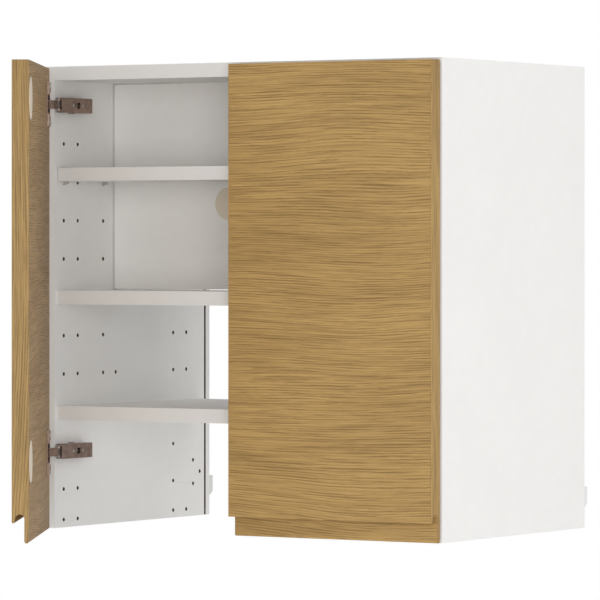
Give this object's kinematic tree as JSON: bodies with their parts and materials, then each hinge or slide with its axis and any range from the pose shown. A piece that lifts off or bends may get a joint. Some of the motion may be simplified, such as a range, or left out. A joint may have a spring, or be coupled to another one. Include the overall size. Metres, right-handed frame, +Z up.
{
  "type": "wall cabinet",
  "caption": "White hanging wall cabinet for an extractor hood with oak doors that have a grip in their lower edge; left door open.",
  "frame": {"origin": "middle of the hanging line: on the wall plane, 45 mm below the top, halfway between the two hooks", "axes": "+X to the right when seen from the front, +Y into the wall, +Z up"},
  "size_m": [0.6, 0.6673, 0.6],
  "materials": {
    "white_board": "satin melamine on chipboard",
    "oak": "matt oak effect",
    "hinge_metal": "nickel plated",
    "steel": "zinc plated",
    "birch": "raw",
    "cream_plastic": "matt",
    "white_plastic": "matt"
  },
  "bodies": {
    "carcass": {"top_panel": "white_board", "mid_shelf": "white_board", "hood_shelf": "white_board", "partition_panel": "white_board", "partition_brackets": "steel", "cable_cap": "cream_plastic", "dowels": "birch", "cam_bolts": "steel", "cam_housings": "steel", "shelf_pins": "steel", "plate_screws": "steel", "arm_screws": "steel", "arm_pins": "steel", "side_panel_left": "white_board", "hanger_left": "white_plastic", "hanger_hook_left": "steel", "hanger_screw_left": "steel", "wall_spacer_left": "white_plastic", "mounting_plate_left_upper": "hinge_metal", "hinge_arm_left_upper": "hinge_metal", "mounting_plate_left_lower": "hinge_metal", "hinge_arm_left_lower": "hinge_metal", "side_panel_right": "white_board", "hanger_right": "white_plastic", "hanger_hook_right": "steel", "hanger_screw_right": "steel", "wall_spacer_right": "white_plastic", "mounting_plate_right_upper": "hinge_metal", "hinge_arm_right_upper": "hinge_metal", "mounting_plate_right_lower": "hinge_metal", "hinge_arm_right_lower": "hinge_metal"},
    "left_door": {"door_left": "oak", "band_hinge_left": "oak", "band_free_left": "oak", "cup_screws_left": "steel", "cup_pins_left": "steel", "hinge_cup_left_upper": "hinge_metal", "cover_cap_left_upper": "cream_plastic", "hinge_cup_left_lower": "hinge_metal", "cover_cap_left_lower": "cream_plastic"},
    "right_door": {"door_right": "oak", "band_hinge_right": "oak", "band_free_right": "oak", "cup_screws_right": "steel", "cup_pins_right": "steel", "hinge_cup_right_upper": "hinge_metal", "cover_cap_right_upper": "cream_plastic", "hinge_cup_right_lower": "hinge_metal", "cover_cap_right_lower": "cream_plastic"},
    "left_levers": {"outer_lever_left_upper": "hinge_metal", "inner_lever_left_upper": "hinge_metal", "outer_lever_left_lower": "hinge_metal", "inner_lever_left_lower": "hinge_metal"},
    "right_levers": {"outer_lever_right_upper": "hinge_metal", "inner_lever_right_upper": "hinge_metal", "outer_lever_right_lower": "hinge_metal", "inner_lever_right_lower": "hinge_metal"},
    "spice_shelf_body": {"spice_shelf": "white_board"}
  },
  "joints": [
    {"name": "left_door_swing", "type": "hinge", "parent": "carcass", "child": "left_door", "pos_m": [-0.3007, -0.4099, -0.255], "axis": [0, 0, -1], "range_deg": [-60, 50]},
    {"name": "right_door_swing", "type": "hinge", "parent": "carcass", "child": "right_door", "pos_m": [0.3007, -0.4099, -0.255], "axis": [0, 0, 1], "range_deg": [0, 110]},
    {"name": "left_lever_swing", "type": "hinge", "parent": "carcass", "child": "left_levers", "pos_m": [-0.267, -0.395, -0.255], "axis": [0, 0, 1], "range_deg": [-84, 70]},
    {"name": "right_lever_swing", "type": "hinge", "parent": "carcass", "child": "right_levers", "pos_m": [0.267, -0.395, -0.255], "axis": [0, 0, -1], "range_deg": [0, 154]},
    {"name": "spice_shelf_lift", "type": "slide", "parent": "carcass", "child": "spice_shelf_body", "axis": [0, 0, 1], "range_m": [0, 0.05]}
  ],
  "couplings": [
    {"joint": "left_lever_swing", "follows": "left_door_swing", "ratio": 1.4},
    {"joint": "right_lever_swing", "follows": "right_door_swing", "ratio": 1.4}
  ]
}
